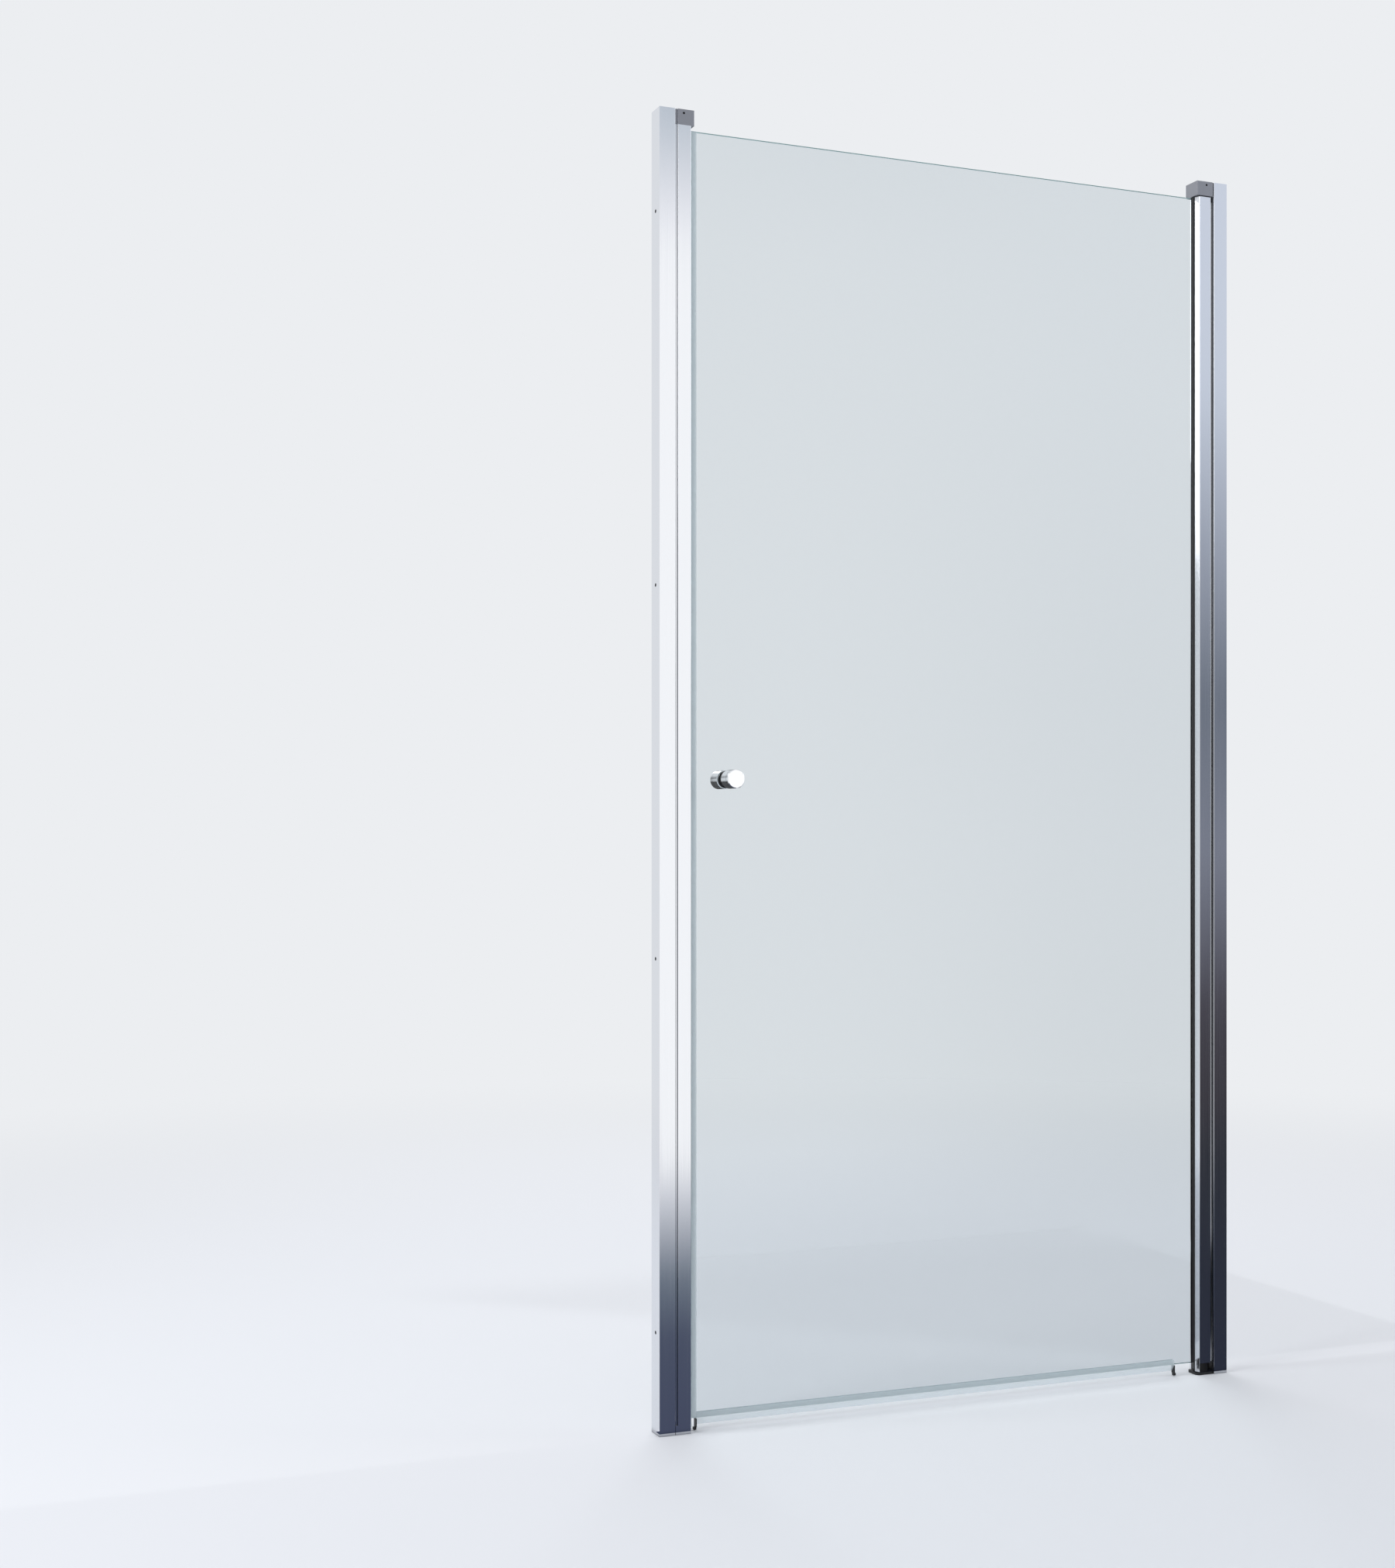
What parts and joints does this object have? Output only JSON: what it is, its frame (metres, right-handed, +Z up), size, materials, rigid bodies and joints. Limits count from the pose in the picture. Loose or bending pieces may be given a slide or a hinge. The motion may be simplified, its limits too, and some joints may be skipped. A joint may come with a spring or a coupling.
{
  "type": "pivot shower door",
  "caption": "Glass pivot shower door for a niche: one leaf on a pivot stile, bright wall jambs, magnet and drip seals, round knob.",
  "frame": {"origin": "middle of the opening at tray level, on the middle plane of the shut glass", "axes": "+X along the opening from the strike jamb to the hinge jamb, +Y into the shower, +Z up"},
  "size_m": [1, 0.07, 1.95],
  "materials": {
    "bright_aluminium": "bright polished and anodised",
    "grey_moulding": "silver-grey moulded plastic",
    "black_moulding": "black moulded plastic",
    "black_rubber": "satin black extruded rubber",
    "clear_pvc": "clear extruded PVC",
    "ferrite_strip": "flexible ferrite strip with a pale coat",
    "toughened_glass": "clear toughened glass with polished edges",
    "chrome": "bright chrome plate",
    "stainless_steel": "plain stainless steel",
    "blackened_steel": "black-oxidised steel screws",
    "white_acetal": "natural acetal",
    "brush_pile": "dark woven-back pile"
  },
  "bodies": {
    "jamb": {"strike_adjusting_profile": "bright_aluminium", "strike_top_cap": "grey_moulding", "strike_bottom_cap": "bright_aluminium", "strike_magnet_seal": "clear_pvc", "strike_magnet_strip": "ferrite_strip", "hinge_adjusting_profile": "bright_aluminium", "outer_brush_seal": "brush_pile", "inner_brush_seal": "brush_pile", "upper_pivot_block": "grey_moulding", "upper_pivot_bush": "white_acetal", "lower_pivot_block": "black_moulding", "lower_pivot_pin": "stainless_steel", "thrust_washer": "white_acetal", "cap_lock_screws": "blackened_steel", "end_screws": "stainless_steel"},
    "strike_channel": {"strike_wall_channel": "bright_aluminium", "strike_clamp_screws": "stainless_steel", "strike_clamp_nuts": "stainless_steel"},
    "hinge_channel": {"hinge_wall_channel": "bright_aluminium", "hinge_clamp_screws": "stainless_steel", "hinge_clamp_nuts": "stainless_steel"},
    "door": {"door_stile": "bright_aluminium", "stile_top_plug": "white_acetal", "stile_bottom_plug": "white_acetal", "plug_screws": "stainless_steel", "upper_pivot_pin": "stainless_steel", "lower_pivot_bush": "white_acetal", "glass_pane": "toughened_glass", "glass_edge_packers": "white_acetal", "outer_glazing_gasket": "black_rubber", "inner_glazing_gasket": "black_rubber", "door_magnet_seal": "clear_pvc", "door_magnet_strip": "ferrite_strip", "drip_seal": "clear_pvc", "drip_seal_end_stops": "black_moulding", "knob_outer": "chrome", "knob_inner": "chrome", "knob_stud": "stainless_steel", "knob_sleeve": "white_acetal", "knob_washers": "black_moulding", "knob_set_screws": "stainless_steel"}
  },
  "joints": [
    {"name": "door_swing", "type": "hinge", "parent": "jamb", "child": "door", "pos_m": [0.4605, 0, 0], "axis": [0, 0, 1], "range_deg": [0, 100]},
    {"name": "strike_channel_slide", "type": "slide", "parent": "jamb", "child": "strike_channel", "axis": [1, 0, 0], "range_m": [-0.009, 0]},
    {"name": "hinge_channel_slide", "type": "slide", "parent": "jamb", "child": "hinge_channel", "axis": [1, 0, 0], "range_m": [0, 0.009]}
  ]
}
